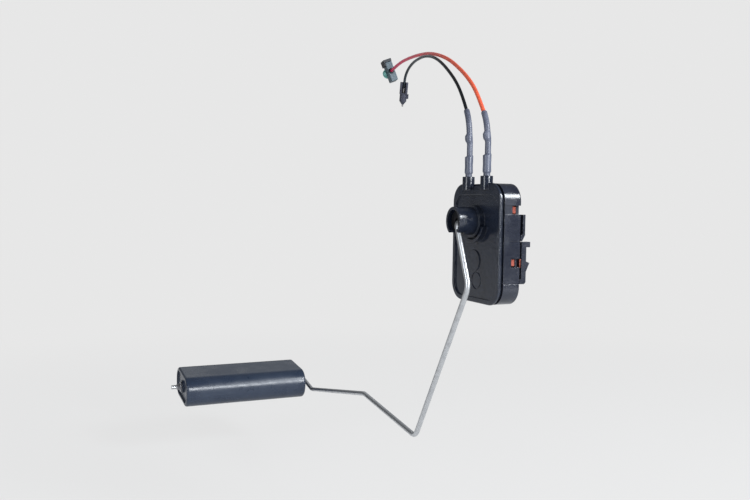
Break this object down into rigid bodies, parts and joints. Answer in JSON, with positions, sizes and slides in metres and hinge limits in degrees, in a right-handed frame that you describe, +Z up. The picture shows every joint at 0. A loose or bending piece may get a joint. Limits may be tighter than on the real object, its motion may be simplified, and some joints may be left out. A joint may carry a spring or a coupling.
{
  "type": "level sensor",
  "caption": "Fuel level sender: moulded housing with a rotary resistor sensor, bent wire float arm, slab float, and insulated leads ending in small connectors.",
  "frame": {"origin": "on the arm's pivot axis, in the plane of the mounting rail's rear face", "axes": "+X to the right as the cover is seen, -Y out of the cover along the pivot axis, +Z up"},
  "size_m": [0.2607, 0.139, 0.2341],
  "materials": {
    "cover_plastic": "smooth moulded, glossy",
    "case_plastic": "smooth moulded, glossy",
    "card_ceramic": "fired, matt",
    "track_ink": "printed resistor ink",
    "terminal_metal": "stamped sheet",
    "clip_copper": "stamped sheet",
    "washer_plastic": "smooth",
    "hub_plastic": "turned and moulded",
    "spring_steel": "spring steel",
    "spring_bronze": "rivets",
    "arm_steel": "drawn wire",
    "retainer_steel": "pressed",
    "float_foam": "closed-cell, smooth skin",
    "sleeve_rubber": "shrunk tubing",
    "crimp_metal": "tinned",
    "lead_black_skin": "insulation",
    "lead_red_skin": "insulation",
    "plug_plastic": "moulded",
    "contact_metal": "tinned",
    "block_plastic": "moulded",
    "cap_plastic": "moulded",
    "seal_teal": "moulded seal"
  },
  "bodies": {
    "housing": {"front_cover": "cover_plastic", "rear_case": "case_plastic", "resistor_card": "card_ceramic", "card_tracks": "track_ink", "ground_terminal": "terminal_metal", "signal_terminal": "terminal_metal", "card_clip_upper": "clip_copper", "card_clip_lower": "clip_copper", "thrust_washer": "washer_plastic", "sleeve_black": "sleeve_rubber", "sleeve_red": "sleeve_rubber", "crimp_black": "crimp_metal", "crimp_red": "crimp_metal", "lead_black": "lead_black_skin", "lead_red": "lead_red_skin", "black_connector": "plug_plastic", "black_contact": "contact_metal", "red_connector": "block_plastic", "red_connector_cap": "cap_plastic", "red_connector_seal": "seal_teal"},
    "arm": {"arm_hub": "hub_plastic", "hub_clip": "spring_steel", "wiper": "spring_bronze", "wiper_contacts": "spring_bronze", "float_arm": "arm_steel", "float_retainer": "retainer_steel"},
    "float": {"float": "float_foam"}
  },
  "joints": [
    {"name": "arm_swing", "type": "hinge", "parent": "housing", "child": "arm", "pos_m": [0, -0.0236, 0], "axis": [0, 1, 0], "range_deg": [0, 40]},
    {"name": "float_spin", "type": "hinge", "parent": "arm", "child": "float", "pos_m": [-0.21971, -0.0691, -0.11837], "axis": [0, 1, 0], "continuous": true}
  ]
}
